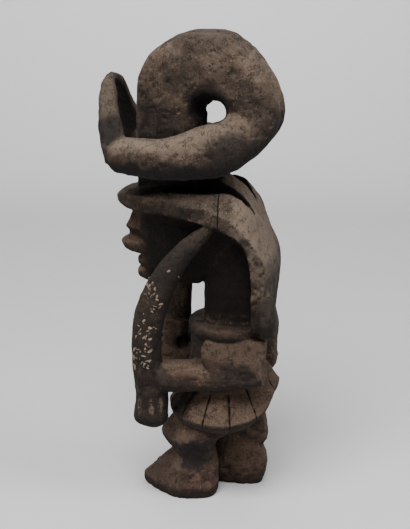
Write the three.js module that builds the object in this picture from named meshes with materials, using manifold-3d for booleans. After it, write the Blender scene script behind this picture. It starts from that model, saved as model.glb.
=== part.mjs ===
// An ikenga figure, carved from one block of hardwood, in millimetres with +Z up.
// It faces -Y, its left hand is on +X, and it stands on the flat soles of its two feet.
import * as THREE from 'three';
import Module from 'manifold-3d';
import { mergeVertices } from 'three/addons/utils/BufferGeometryUtils.js';

const wasm = await Module();
wasm.setup();

// Driving dimensions, all measured from the floor and from the middle plane of the figure
const SEAT_Z = 91;              // lowest edge of the seat
const WAIST_Z = 116;            // where the drum of the body meets the seat
const COLLAR_Z = 188;           // top of the collar
const JAW_Z = 229;              // underside of the jaw
const BROW_Z = 300;             // underside of the hood over the face
const WHEEL_Z = 396;            // middle of the eye in the coiled horns
const WHEEL_Y = -12;
const HALF_HOOD = 45;           // half the width of the hood
const CREST_HALF = 20;          // half the width of the crest of the hood
const BODY_R = 37;              // drum of the body
const BODY_Y = -3;              // axis of the body and seat
const COLLAR_R = 45;
const COLLAR_Y = 4;             // axis of the collar
const SEAT_R = 56;
const EYE_R = 12;               // the eye that shows daylight through the coil
const SEAT_CUTS = 12;           // radial cuts on the seat
const NEAR = 1;                 // the figure's left, on +X
const FAR = -1;                 // the figure's right, on -X

const vec = (x, y, z) => new THREE.Vector3(x, y, z);
const lerp = THREE.MathUtils.lerp;
const rad = THREE.MathUtils.degToRad;

// A closed body through rings of points, with the same number of points in each ring
function loft(rings) {
  const count = rings[0].length;
  const points = rings.flat();
  const index = [];
  for (let r = 0; r + 1 < rings.length; r++) {
    for (let i = 0; i < count; i++) {
      const a = r * count + i;
      const b = r * count + (i + 1) % count;
      index.push(a, b, b + count, a, b + count, a + count);
    }
  }
  for (const start of [0, (rings.length - 1) * count]) {
    const middle = points.length;
    points.push(centroid(points.slice(start, start + count)));
    for (let i = 0; i < count; i++) {
      const a = start + i;
      const b = start + (i + 1) % count;
      index.push(...(start ? [a, b, middle] : [b, a, middle]));
    }
  }
  const geometry = new THREE.BufferGeometry().setFromPoints(points);
  geometry.setIndex(index);
  return solid(geometry);
}

function centroid(points) {
  const sum = points.reduce((total, p) => total.add(p), vec(0, 0, 0));
  return sum.divideScalar(points.length);
}

// A closed geometry as a solid with its faces pointing out
function solid(geometry) {
  geometry.deleteAttribute('normal');
  geometry.deleteAttribute('uv');
  const merged = mergeVertices(geometry, 1e-4);
  const vertProperties = new Float32Array(merged.attributes.position.array);
  const triVerts = new Uint32Array(merged.index.array);
  if (signedVolume(vertProperties, triVerts) < 0) {
    for (let t = 0; t < triVerts.length; t += 3) {
      [triVerts[t + 1], triVerts[t + 2]] = [triVerts[t + 2], triVerts[t + 1]];
    }
  }
  return new wasm.Manifold(new wasm.Mesh({ numProp: 3, vertProperties, triVerts }));
}

function signedVolume(position, index) {
  const corner = (i) => vec(position[3 * i], position[3 * i + 1], position[3 * i + 2]);
  let volume = 0;
  for (let t = 0; t < index.length; t += 3) {
    const [a, b, c] = [corner(index[t]), corner(index[t + 1]), corner(index[t + 2])];
    volume += a.dot(b.cross(c)) / 6;
  }
  return volume;
}

// The smooth value at t, from 0 to 1, of rows of numbers spaced evenly along t
function between(rows, t) {
  const place = Math.min(t * (rows.length - 1), rows.length - 1.000001);
  const i = Math.floor(place);
  const f = place - i;
  const row = (k) => rows[Math.min(Math.max(k, 0), rows.length - 1)];
  return rows[i].map((_, n) => {
    const [p, a, b, q] = [row(i - 1)[n], row(i)[n], row(i + 1)[n], row(i + 2)[n]];
    const bend = (2 * p - 5 * a + 4 * b - q) * f * f + (3 * a - p - 3 * b + q) * f * f * f;
    return a + ((b - p) * f + bend) / 2;
  });
}

// Points round an oval; a power above 2 makes it boxy, below 2 makes it pointed
function oval(sides, power) {
  const swell = (value) => Math.sign(value) * Math.abs(value) ** (2 / power);
  return Array.from({ length: sides }, (_, i) => {
    const angle = (i + 0.5) * 2 * Math.PI / sides;
    return [swell(Math.cos(angle)), swell(Math.sin(angle))];
  });
}

// A limb through stations of x, y, z, half width across the figure and half depth.
// roundEnd closes the last station with a dome of that length.
function limb(stations, { steps = 12, sides = 12, power = 2.3, roundStart = 0, roundEnd = 0 } = {}) {
  const rows = Array.from({ length: steps + 1 }, (_, i) => between(stations, i / steps));
  const places = rows.map(([x, y, z]) => vec(x, y, z));
  const shape = oval(sides, power);
  const rings = [];
  rows.forEach(([, , , wide, deep], i) => {
    const ahead = places[Math.min(i + 1, steps)].clone().sub(places[Math.max(i - 1, 0)]).normalize();
    const across = vec(1, 0, 0).addScaledVector(ahead, -ahead.x).normalize();
    const out = ahead.clone().cross(across);
    const ring = (shift, scale) => shape.map(([u, v]) => places[i].clone()
      .addScaledVector(ahead, shift)
      .addScaledVector(across, u * wide * scale)
      .addScaledVector(out, v * deep * scale));
    const dome = (length, share) => ring(length * Math.sin(share), Math.cos(share));
    if (i === 0 && roundStart) {
      for (const share of [1.35, 0.95, 0.5]) rings.push(dome(-roundStart, share));
    }
    rings.push(ring(0, 1));
    if (i === steps && roundEnd) {
      for (const share of [0.5, 0.95, 1.35]) rings.push(dome(roundEnd, share));
    }
  });
  return loft(rings);
}

// A stack of level outlines; each row is z and the outline's own numbers
function stack(rows, steps, outline) {
  return loft(Array.from({ length: steps + 1 }, (_, i) => {
    const [z, ...numbers] = between(rows, i / steps);
    return outline(...numbers).map(([x, y]) => vec(x, y, z));
  }));
}

// A side profile of y and z, carried across the figure and narrowed towards its ends
function ridge(profile, halfWidth, root, x = 0) {
  const slices = [[-1, 0.35], [-0.8, 0.75], [-0.4, 1], [0.4, 1], [0.8, 0.75], [1, 0.35]];
  return loft(slices.map(([place, scale]) => profile.map(([y, z]) => vec(
    x + place * halfWidth,
    lerp(root[0], y, scale),
    lerp(root[1], z, lerp(1, scale, 0.6)),
  ))));
}

const join = (...parts) => parts.reduce((whole, part) => whole.add(part));

// The two horns start side by side as a thick post, coil back over an eye that lets
// daylight through, part, and run forward along each side of the post. The left horn is
// the thicker one where it passes under the eye.
function horn(side) {
  const outer = [79, 89, 83, 68, 64, 53, 54];
  const inner = [EYE_R, EYE_R, EYE_R, EYE_R, EYE_R, ...(side === NEAR ? [4, 1] : [16, 19])];
  const wide = [17, 18, 18, 18, 18, 19, 20];
  const apart = [12, 12, 13, 14, 16, 26, 38];
  const arc = outer.map((far, i) => {
    const turn = rad(180 - 45 * i);
    const reach = (far + inner[i]) / 2;
    const y = WHEEL_Y + reach * Math.cos(turn);
    const z = WHEEL_Z + reach * Math.sin(turn);
    return [side * apart[i], y, z, wide[i], (far - inner[i]) / 2];
  });
  const foot = [side * 10, WHEEL_Y - EYE_R - 34, BROW_Z + 12, 16, 33];
  const run = [
    [side * 46, -52, 361, 19, 20.5],
    [side * 48, -96, 362.5, 17, 18],
  ];
  return limb([foot, ...arc, ...run], { steps: 27, sides: 12, power: 2.5, roundEnd: 17 });
}

// The eye widens into a funnel on each side of the coil
function eyeFunnel(side) {
  const rings = [[2, -12, 398, 11, 11], [21, -14.5, 403.5, 14.5, 12.5], [38, -20, 415, 24, 18]];
  return loft(rings.map(([x, y, z, halfY, halfZ]) => oval(12, 2).map(([u, v]) => (
    vec(side * x, y + u * halfY, z + v * halfZ)
  ))));
}

// Each horn turns up at the front and leans in, until the two tips meet.
// The right tip has a broader foot and a thinner end than the left.
function hornTip(side) {
  const [lean, foot, thin] = side === NEAR ? [0, 0, 0] : [3, 5, 1.5];
  return limb([
    [side * 46, -101 - lean, 356, 11, 13 + foot],
    [side * 41, -109 - lean, 383, 9.5, 12 - thin],
    [side * 30, -114.5 - lean / 2, 405, 8, 10 - thin],
    [side * 14, -118, 423, 7, 7.5],
    [side * -1, -121, 431, 4, 4],
  ], { steps: 9, sides: 8, power: 2.6 });
}

function post() {
  const rows = [
    [BROW_Z, 26, -91, -18],
    [334, 23, -90, -20],
    [380, 24, -90, -26],
    [WHEEL_Z + 20, 22, -80, -34],
  ];
  return stack(rows, 4, (wide, front, back) => {
    const middle = (front + back) / 2;
    return oval(16, 2.6).map(([u, v]) => [u * wide, middle + v * (back - front) / 2]);
  });
}

// Stations of the hood, from the point of the visor back and down to the shoulders: upper
// edge y and z, lower edge y and z, half width, rise of its walls and their share of the
// half width, rise of the crest
const HOOD = [
  [-115.5, 311, -115, 306, 3, 0.5, 0.5, 0.6],
  [-107, 317, -107, 304, 17, 1.5, 0.5, 1.8],
  [-94, 319, -94, 302.5, 29, 4, 0.55, 5],
  [-75, 319, -76, 302, 38, 9, 0.65, 12],
  [-50, 317, -54, 302, 43, 14, 0.75, 22],
  [-25, 313, -30, 298, HALF_HOOD, 19, 0.79, 30],
  [-3, 307, -9, 293, HALF_HOOD + 1, 24, 0.8, 25],
  [13, 298, 4, 288, HALF_HOOD + 1, 17.5, 0.8, 18],
  [27, 285, 17, 280, HALF_HOOD + 1, 8.5, 0.78, 9],
  [37.5, 271, 25, 267, HALF_HOOD, 3.5, 0.72, 4.5],
  [44, 256, 28, 253, HALF_HOOD, 3.5, 0.65, 4],
  [45, 233, 30, 233, HALF_HOOD, 3.5, 0.6, 4],
  [42, 186, 29, 186, HALF_HOOD - 3, 1, 0.6, 2],
];

function hood() {
  const steps = 23;
  return loft(Array.from({ length: steps + 1 }, (_, i) => {
    const [yTop, zTop, yLow, zLow, half, rise, share, crest] = between(HOOD, i / steps);
    const up = vec(0, yTop - yLow, zTop - zLow).normalize();
    const wall = half * share;
    const ledge = Math.min(CREST_HALF, wall * 0.6);
    const outline = [
      [half, 0], [wall, rise], [ledge, crest * 0.94], [0, crest],
      [-ledge, crest * 0.94], [-wall, rise], [-half, 0],
    ];
    const top = outline.map(([x, lift]) => vec(x, yTop, zTop).addScaledVector(up, lift));
    return [vec(half, yLow, zLow), ...top, vec(-half, yLow, zLow), vec(0, yLow, zLow)];
  }));
}

// One of the two long slots that run back beside the crest of the hood
function hoodSlot(side) {
  const from = 0.3;
  const to = side === NEAR ? 0.61 : 0.58;
  const steps = 8;
  const shape = [[0.46, 0.8, 12], [0.5, 0.82, 18], [0.44, 0.8, 20], [0.37, 0.66, 15], [0.31, 0.37, 5]];
  return loft(Array.from({ length: steps + 1 }, (_, i) => {
    const t = i / steps;
    const [yTop, zTop, yLow, zLow, half, rise, , crest] = between(HOOD, lerp(from, to, t));
    const [inner, outer, deep] = between(shape, t);
    const up = vec(0, yTop - yLow, zTop - zLow).normalize();
    const at = (x, lift) => vec(side * x * half, yTop, zTop).addScaledVector(up, lift);
    return [at(inner, rise - deep), at(outer, rise - deep), at(outer, crest + 6), at(inner, crest + 6)];
  }));
}

// The long head is a wedge that hangs forward of the neck
function head() {
  const rows = [
    [JAW_Z - 3, 11, 17, -84, -26],
    [JAW_Z + 14, 14, 22, -90, -14],
    [262, 17, 26, -88, 0],
    [280, 18, 28, -92, 16],
    [BROW_Z + 8, 24, 34, -92, 24],
  ];
  const headPlan = (front, back, yFront, yBack) => [
    [front * 0.5, yFront], [front, yFront + 6], [lerp(front, back, 0.6), -62], [back, -38],
    [back, lerp(-38, yBack, 0.7)], [back * 0.8, yBack],
    [-back * 0.8, yBack], [-back, lerp(-38, yBack, 0.7)],
    [-back, -38], [-lerp(front, back, 0.6), -62], [-front, yFront + 6], [-front * 0.5, yFront],
  ];
  return stack(rows, 9, headPlan);
}

// The nose is a wedge, narrow under the visor and broad above the lip
function nose() {
  const root = -80;
  const rows = [
    [254, 10, -98],
    [268, 10, -103.5],
    [274, 11, -104],
    [279, 12.5, -107.5],
    [288, 7, -103],
    [BROW_Z + 2, 4, -99],
  ];
  return stack(rows, 7, (wide, tip) => oval(10, 1.8).map(([u, v]) => [u * wide, root + v * (root - tip)]));
}

function face() {
  const lips = ridge([
    [-78, 266], [-107, 269.5], [-111.5, 265], [-110, 259], [-105, 254], [-78, 250],
  ], 16, [-80, 258]);
  const beard = ridge([
    [-78, 250], [-93, 249.5], [-95, 244], [-92.5, 239], [-78, 238],
  ], 12, [-80, 243]);
  const chin = ridge([
    [-78, 239], [-93, 238.5], [-95.5, 232], [-92, 226], [-78, 222],
  ], 12, [-80, 230]);
  return join(nose(), lips, beard, chin);
}

function neck() {
  const rows = [
    [COLLAR_Z - 12, 22, -25, 32],
    [COLLAR_Z + 20, 21, -25, 36],
    [JAW_Z + 20, 22, -25, 38],
    [BROW_Z - 4, 26, -25, 30],
  ];
  return stack(rows, 4, (wide, front, back) => {
    const middle = (front + back) / 2;
    return oval(14, 2.8).map(([u, v]) => [u * wide, middle + v * (back - front) / 2]);
  });
}

// A turned drum from a profile of radius and height
function drum(profile, middle) {
  const geometry = new THREE.LatheGeometry(profile.map(([r, z]) => new THREE.Vector2(r, z)), 26);
  return solid(geometry.rotateX(Math.PI / 2).translate(0, middle, 0));
}

function trunk() {
  const collar = drum([
    [0, COLLAR_Z - 14], [COLLAR_R - 3, COLLAR_Z - 14], [COLLAR_R, COLLAR_Z - 10],
    [COLLAR_R, COLLAR_Z - 3], [COLLAR_R - 2, COLLAR_Z], [0, COLLAR_Z],
  ], COLLAR_Y);
  const body = drum([
    [0, SEAT_Z - 13], [BODY_R - 3, SEAT_Z - 13], [BODY_R + 0.5, WAIST_Z + 24],
    [BODY_R - 2, COLLAR_Z - 10], [0, COLLAR_Z - 10],
  ], BODY_Y);
  return collar.add(body);
}

// Height of the seat's rim, which is lowest at the sides and sweeps up at the back
function rimHeight(angle) {
  const back = Math.max(0, Math.sin(angle));
  const front = Math.max(0, -Math.sin(angle));
  return SEAT_Z + 11 * back ** 2 + 24 * back ** 10 + 7 * front ** 6;
}

// The seat flares out under the body like a short skirt, and narrows again to the legs
function seat() {
  const sides = 36;
  const rings = [
    (rim) => [BODY_R - 4, rim + 33],
    (rim) => [BODY_R + 1, rim + 23],
    (rim) => [SEAT_R - 2, rim + 1],
    (rim) => [SEAT_R, rim - 1],
    (rim) => [SEAT_R - 1, rim - 6],
    (rim) => [SEAT_R - 8, rim - 12],
    (rim) => [SEAT_R - 21, lerp(rim, SEAT_Z, 0.5) - 18],
  ];
  return loft(rings.map((ring) => Array.from({ length: sides }, (_, i) => {
    const angle = i * 2 * Math.PI / sides;
    const [r, z] = ring(rimHeight(angle));
    const front = 1 + 0.05 * Math.max(0, -Math.sin(angle)) ** 2;
    return vec(r * Math.cos(angle), BODY_Y + r * Math.sin(angle) * front, z);
  })));
}

// A narrow V cut on the top of the seat, from the body out over the rim
function seatCut(angle) {
  const rim = rimHeight(angle);
  const slope = [[BODY_R - 2, rim + 28], [SEAT_R + 3, rim - 2]];
  return loft(slope.map(([r, z]) => [[-2.2, 3], [2.2, 3], [0.3, -5], [-0.3, -5]].map(([w, lift]) => vec(
    r * Math.cos(angle) - w * Math.sin(angle),
    BODY_Y + r * Math.sin(angle) + w * Math.cos(angle),
    z + lift,
  ))));
}

// A rounded shoulder stands behind the collar, the upper arm is a broad slab against the
// drum under it, and the forearm reaches forward. The right shoulder is carved lower than
// the left, and further forward.
function arm(side) {
  const [back, top, elbow, low] = side === NEAR ? [46, 219, 45, 136] : [36, 183, 43.5, 125];
  const shoulder = limb([
    [side * 41, back, top - 31, 9, 8],
    [side * 41, back + 1, top - 14, 10, 9],
    [side * 40, back, top, 8, 7.5],
  ], { steps: 4, sides: 10, roundStart: 6, roundEnd: 9 });
  const upper = stack([
    [low, 24, 54, -12],
    [156, 24, 53.5, -19],
    [168, 24, 46.5, -20],
    [178, 26, 40, -14],
  ], 4, (inner, outer, front) => oval(12, 4.5).map(([u, v]) => [
    side * (inner + outer + u * (outer - inner)) / 2,
    (front + elbow + v * (elbow - front)) / 2,
  ]));
  return join(shoulder, upper, side === NEAR ? nearForearm(elbow) : farForearm(elbow));
}

function nearForearm(elbow) {
  return limb([
    [39, elbow - 1, 144, 14, 12],
    [38, 10, 140, 16, 14],
    [37.5, -35, 135, 17.5, 15],
    [41, -78, 133, 18, 16],
  ], { steps: 7, sides: 12, power: 3, roundEnd: 9 });
}

// The right forearm is lower and thinner, so that a hollow is left over it beside the fist
function farForearm(elbow) {
  return limb([
    [-39, elbow - 3, 143, 12, 12],
    [-39, 10, 132, 13, 12.5],
    [-41, -35, 126, 14, 13],
    [-43, -74, 125, 15, 14],
  ], { steps: 7, sides: 12, power: 3.6, roundEnd: 6 });
}

// The right fist is a tall block round the foot of the blade, with a hollow in its heel
function farFist() {
  const block = (x, y, low, high, wide, deep) => limb([
    [x, y, low, wide, deep],
    [x, y, high, wide, deep],
  ], { steps: 1, sides: 10, power: 4.5, roundEnd: 3 });
  return join(
    block(FAR * 44, -64, 150, 168, 13.5, 14.5),
    block(FAR * 44, -69, 118, 152, 13.5, 9.5),
    block(FAR * 53, -62, 124, 152, 5, 13),
  );
}

// Four fingers close over the front of the fist
function fingers(side) {
  const rolls = [-9, -3, 3, 9].map((rise) => limb([
    [side * 31, -80, 132 + rise, 3.8, 6],
    [side * 45, -85, 132 + rise, 3.8, 6],
    [side * 57, -78, 132 + rise, 3.8, 6],
  ], { steps: 3, sides: 6 }));
  return join(...rolls);
}

// The tusk in the left hand sweeps up past the cheek to the edge of the hood
function tusk() {
  return limb([
    [45, -71.5, 92, 13, 18.5],
    [45, -70.5, 116, 13, 17],
    [45, -75, 150, 14, 15],
    [45, -74, 184, 14, 15.5],
    [45, -67, 214, 13, 15.5],
    [44, -55, 240, 12, 14],
    [43, -39, 264, 10, 11.5],
    [41, -24, 280, 8, 9],
    [40, -11, 293, 5, 5.5],
  ], { steps: 16, sides: 12, roundStart: 13, roundEnd: 3 });
}

// The right hand holds an upright blade, whose butt shows under the fist
function blade() {
  return limb([
    [-43, -64, 100, 7, 9],
    [-43, -63, 125, 7, 10],
    [-43, -62, 165, 6, 13],
    [-43, -61, 200, 5, 13.5],
    [-42, -58, 235, 5, 14],
    [-41, -52, 262, 4, 10],
  ], { steps: 8, sides: 8, power: 2.8, roundStart: 5, roundEnd: 8 });
}

// A foot outline with a straight inner edge, a pointed front and a full, rounded heel
function sole(inner, outer, front, back, widest) {
  const halfRound = (share, power) => Math.max(0, 1 - share ** power) ** (1 / power);
  const toe = [0.25, 0.5, 0.75, 0.92, 1].map((p) => [
    inner + (outer - inner) * halfRound(p, 1.35), lerp(widest, front, p),
  ]);
  const middle = lerp(inner, outer, 0.4);
  const heel = [0, 0.35, 0.65, 0.88, 1].map((p) => [
    middle + (outer - middle) * halfRound(p, 2.6), lerp(widest, back, p),
  ]);
  const hollow = [0.92, 0.75, 0.4].map((p) => [
    middle + (inner - middle) * halfRound(p, 3.4), lerp(widest, back, p),
  ]);
  return [...heel.reverse(), ...toe, [inner, lerp(widest, front, 0.5)], ...hollow.reverse()];
}

// Rows of height, inner side, outer side, front, back and place of the widest point
const NEAR_LEG = [
  [0, 3, 44, -90, -7, -44],
  [10, 3, 45, -90, -6, -44],
  [20, 3, 43, -80, -7, -42],
  [31, 3, 41, -70, -7, -38],
  [42, 3, 40, -60, -9, -34],
  [52, 3, 43, -69, -9, -36],
  [63, 3, 46, -70, -4, -33],
  [74, 3, 45, -62, 12, -24],
  [90, 3, 42, -52, 30, -18],
];
const FAR_LEG = [
  [0, 3, 45, -62, 34, 2],
  [10, 3, 46, -64, 37, 2],
  [20, 4, 45, -56, 38, 4],
  [29, 6, 44, -46, 37, 4],
  [39, 10, 44, -40, 33.5, 4],
  [47, 12, 46, -41, 38.5, 6],
  [55, 12, 47, -42, 38, 8],
  [64, 11, 47, -43, 37, 8],
  [74, 8, 45, -44, 36, 4],
  [90, 3, 42, -40, 33, 0],
];

function leg(rows, side) {
  return stack(rows, 12, (inner, outer, front, back, widest) => (
    sole(inner, outer, front, back, widest).map(([x, y]) => [side * x, y])
  ));
}

function figure() {
  const cuts = Array.from({ length: SEAT_CUTS }, (_, i) => seatCut(rad(16 + i * 360 / SEAT_CUTS)));
  const skirt = seat().subtract(join(...cuts));
  const crown = hood().subtract(join(hoodSlot(NEAR), hoodSlot(FAR)));
  const coil = join(horn(NEAR), horn(FAR), post()).subtract(join(eyeFunnel(NEAR), eyeFunnel(FAR)));
  const pairs = [NEAR, FAR].map((side) => join(hornTip(side), arm(side), fingers(side)));
  return join(
    coil, crown, ...pairs, head(), face(), neck(), trunk(), skirt,
    tusk(), farFist(), blade(), leg(NEAR_LEG, NEAR), leg(FAR_LEG, FAR),
  );
}

// The solid as a geometry, moved so that the middle of its box stands on the origin
function geometryOf(body) {
  const mesh = body.getMesh();
  const geometry = new THREE.BufferGeometry();
  geometry.setAttribute('position', new THREE.BufferAttribute(mesh.vertProperties, 3));
  geometry.setIndex(new THREE.BufferAttribute(mesh.triVerts, 1));
  geometry.computeBoundingBox();
  const { min, max } = geometry.boundingBox;
  geometry.translate(-(min.x + max.x) / 2, -(min.y + max.y) / 2, -min.z);
  geometry.computeVertexNormals();
  return geometry;
}

const wood = new THREE.MeshStandardMaterial({ color: 0x57463a, roughness: 0.85, metalness: 0 });
const carving = new THREE.Mesh(geometryOf(figure()), wood);
carving.name = 'ikenga_figure';

const group = new THREE.Group();
group.add(carving);
export default group;
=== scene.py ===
"""A weathered wooden shrine figure with coiled horns, carved from one block.

The carving is built as closed forms on the same stations as its solid, joined into one skin,
pressed with tool marks and painted by its own recesses and faces. Chalk flakes lie on the tusk.
"""

import math

import bpy
import numpy as np
from bpy.props import FloatProperty, FloatVectorProperty, IntProperty, PointerProperty
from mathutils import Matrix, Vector
from mathutils.bvhtree import BVHTree


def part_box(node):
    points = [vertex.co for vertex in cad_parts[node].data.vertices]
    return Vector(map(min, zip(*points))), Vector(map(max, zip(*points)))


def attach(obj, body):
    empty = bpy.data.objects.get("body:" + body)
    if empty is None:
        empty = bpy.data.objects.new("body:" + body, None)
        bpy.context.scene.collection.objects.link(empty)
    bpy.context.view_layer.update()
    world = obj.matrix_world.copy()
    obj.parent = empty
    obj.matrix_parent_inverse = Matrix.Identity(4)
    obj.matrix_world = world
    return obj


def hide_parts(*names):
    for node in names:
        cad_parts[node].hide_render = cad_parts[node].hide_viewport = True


bl_info = {
    "name": "Carved Ikenga Figure",
    "version": (1, 0, 0),
    "blender": (4, 5, 0),
    "location": "3D View > Sidebar > Figure",
    "description": "Builds a weathered horned shrine figure with its wood, crust and stage",
    "category": "Add Mesh",
}

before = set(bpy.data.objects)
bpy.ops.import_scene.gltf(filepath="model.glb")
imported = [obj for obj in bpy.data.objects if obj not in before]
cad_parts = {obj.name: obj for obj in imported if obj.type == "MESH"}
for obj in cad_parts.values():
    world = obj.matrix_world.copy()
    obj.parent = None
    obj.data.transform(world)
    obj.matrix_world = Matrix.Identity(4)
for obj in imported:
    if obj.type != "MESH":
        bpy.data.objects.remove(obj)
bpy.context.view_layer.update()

NODE = "ikenga_figure"
CARVING = "carved_figure"
NODE_LOW, NODE_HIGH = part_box(NODE)

# The carving's own axes stand in the middle of its body, in millimetres. Its shoulder blade
# is the rearmost point, which places those axes in the frame's box.
MM = 0.001
PER_CM2 = 1e4
SHOULDER_BACK = 56
AXIS_Y = NODE_HIGH.y / MM - SHOULDER_BACK

# Driving sizes and places of the carving, in millimetres. The first seat cut is in degrees.
COLLAR_Z = 188
JAW_Z = 229
BROW_Z = 300
WAIST_Z = 116
SEAT_Z = 91
WHEEL_Y, WHEEL_Z = -12, 396
EYE_R = 12
HALF_HOOD = 45
CREST_HALF = 20
BODY_R, BODY_Y = 37, -3
COLLAR_R, COLLAR_Y = 45, 4
SEAT_R = 56
SEAT_CUTS = 12
FIRST_CUT = 16.0
NEAR, FAR = 1, -1

# The photograph's camera: degrees round and above the figure, metres, and pixels of the photo
VIEW_AZIMUTH = 102.0
VIEW_ELEVATION = 17.5
VIEW_DISTANCE = 1.503
VIEW_HEIGHT = 0.2436
FOCAL_PIXELS = 1489.0
IMAGE_HEIGHT = 529
LEFT_OF_CENTRE_PIXELS = 24
SENSOR_MM = 36.0


# Number work


def along(rows, places):
    """Rows of numbers, smoothly read at places from 0 to 1."""
    rows = np.asarray(rows, float)
    last = len(rows) - 1
    spot = np.clip(np.asarray(places, float) * last, 0, last - 1e-6)
    i = spot.astype(int)
    f = (spot - i)[:, None]
    p, a, b, q = (rows[np.clip(i + k, 0, last)] for k in (-1, 0, 1, 2))
    bend = (2 * p - 5 * a + 4 * b - q) * f**2 + (3 * a - p - 3 * b + q) * f**3
    return a + ((b - p) * f + bend) / 2


def smooth_step(low, high, value):
    """0 at low and 1 at high, with a smooth rise between them."""
    t = np.clip((value - low) / (high - low), 0, 1)
    return t * t * (3 - 2 * t)


def random_of(cells, seed):
    """A repeatable random number from 0 to 1 for each whole-number cell."""
    c = cells.astype(np.int64).astype(np.uint64)
    h = c[..., 0] * np.uint64(374761393) + c[..., 1] * np.uint64(668265263)
    h = h + c[..., 2] * np.uint64(2246822519) + np.uint64(seed * 3266489917 + 12345)
    h = (h ^ (h >> np.uint64(15))) * np.uint64(2654435761)
    h = (h ^ (h >> np.uint64(13))) * np.uint64(1274126177)
    h = h ^ (h >> np.uint64(16))
    return (h & np.uint64(0xFFFFFF)).astype(float) / 0xFFFFFF


def cloud(points, seed):
    """Soft noise from -1 to 1 with lumps one unit across."""
    base = np.floor(points)
    f = points - base
    f = f * f * (3 - 2 * f)
    total = 0
    for corner in np.ndindex(2, 2, 2):
        weight = np.prod(np.where(corner, f, 1 - f), axis=1)
        total = total + weight * random_of(base + corner, seed)
    return total * 2 - 1


def clouds(points, seed, octaves=3):
    """Soft noise from -1 to 1 with smaller and smaller lumps on its lumps."""
    total, size, most = 0, 1.0, 0
    for k in range(octaves):
        total = total + cloud(points / size, seed + k) * size
        most += size
        size *= 0.5
    return total / most


def scallops(points, seed):
    """How far each point is from the nearest of many scattered middles, one per unit cell."""
    base = np.floor(points)
    nearest = np.full(len(points), 9.0)
    for step in np.ndindex(3, 3, 3):
        cell = base + np.array(step) - 1
        middle = cell + np.stack([random_of(cell, seed + k) for k in (11, 23, 37)], axis=1)
        nearest = np.minimum(nearest, ((points - middle) ** 2).sum(axis=1))
    return np.sqrt(nearest)


# Closed forms, in the carving's own millimetres


def loft(rings):
    """A closed form through rings with the same number of points."""
    rings = np.asarray(rings, float)
    count, sides = rings.shape[:2]
    points = np.concatenate([rings.reshape(-1, 3), rings[:1].mean(axis=1), rings[-1:].mean(axis=1)])
    i = np.arange(sides)
    j = (i + 1) % sides
    faces = []
    for r in range(count - 1):
        a = r * sides
        faces += np.stack([a + i, a + j, a + j + sides, a + i + sides], axis=1).tolist()
    first, last = count * sides, count * sides + 1
    end = (count - 1) * sides
    faces += [[b, a, first] for a, b in zip(i.tolist(), j.tolist())]
    faces += [[end + a, end + b, last] for a, b in zip(i.tolist(), j.tolist())]
    return turned_out(points, faces)


def turned_out(points, faces):
    """The form with its faces pointing out."""
    volume = 0
    for face in faces:
        a, b, c = points[face[0]], points[face[1]], points[face[2]]
        volume += a @ np.cross(b, c)
        if len(face) == 4:
            volume += a @ np.cross(c, points[face[3]])
    if volume < 0:
        faces = [face[::-1] for face in faces]
    return points, faces


def oval(sides, power):
    """Points round an oval; a power above 2 makes it boxy."""
    angle = (np.arange(sides) + 0.5) * 2 * np.pi / sides
    c, s = np.cos(angle), np.sin(angle)
    return np.stack([np.sign(v) * np.abs(v) ** (2 / power) for v in (c, s)], axis=1)


def limb(stations, steps=60, sides=40, power=2.3, round_start=0, round_end=0):
    """A limb through stations of x, y, z, half width across the figure and half depth.

    round_start and round_end are how far its rounded ends stand out, or 0 for flat ends.
    """
    rows = along(stations, np.linspace(0, 1, steps + 1))
    places = rows[:, :3]
    ahead = np.gradient(places, axis=0)
    ahead /= np.linalg.norm(ahead, axis=1, keepdims=True)
    across = np.array([1.0, 0, 0]) - ahead * ahead[:, :1]
    across /= np.linalg.norm(across, axis=1, keepdims=True)
    out = np.cross(ahead, across)
    shape = oval(sides, power)

    def ring(i, shift, scale):
        u = shape[:, :1] * rows[i, 3] * scale
        v = shape[:, 1:] * rows[i, 4] * scale
        return places[i] + ahead[i] * shift + u * across[i] + v * out[i]

    turns = (1.48, 1.3, 1.1, 0.9, 0.7, 0.45, 0.22)
    rings = []
    if round_start:
        rings += [ring(0, -round_start * math.sin(t), math.cos(t)) for t in turns]
    rings += [ring(i, 0, 1) for i in range(steps + 1)]
    if round_end:
        rings += [ring(steps, round_end * math.sin(t), math.cos(t)) for t in reversed(turns)]
    return loft(rings)


def stack(rows, steps, outline):
    """Level outlines; each row is z and the outline's own numbers."""
    rings = []
    for z, *numbers in along(rows, np.linspace(0, 1, steps + 1)):
        flat = np.asarray(outline(*numbers), float)
        rings.append(np.column_stack([flat, np.full(len(flat), z)]))
    return loft(rings)


def column(rows, steps=40, sides=56, power=2.7):
    """An upright post; each row is z, half width, front y and back y."""
    shape = oval(sides, power)

    def outline(wide, front, back):
        return np.stack([shape[:, 0] * wide, (front + back + shape[:, 1] * (back - front)) / 2], axis=1)

    return stack(rows, steps, outline)


def drum(profile, middle, sides=112):
    """A turned form from radius and height, about an upright axis."""
    angle = np.arange(sides) * 2 * np.pi / sides
    ring = np.stack([np.cos(angle), np.sin(angle), np.zeros(sides)], axis=1)
    return loft([ring * max(r, 0.01) + (0, middle, z) for r, z in profile])


def rounded(profile, passes=2, keep_ends=True):
    """A line of points with its corners cut, again and again."""
    line = np.asarray(profile, float)
    for _ in range(passes):
        a, b = line[:-1], line[1:]
        cut = np.stack([a * 0.75 + b * 0.25, a * 0.25 + b * 0.75], axis=1).reshape(-1, line.shape[1])
        line = np.concatenate([line[:1], cut, line[-1:]]) if keep_ends else cut
    return line


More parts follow.
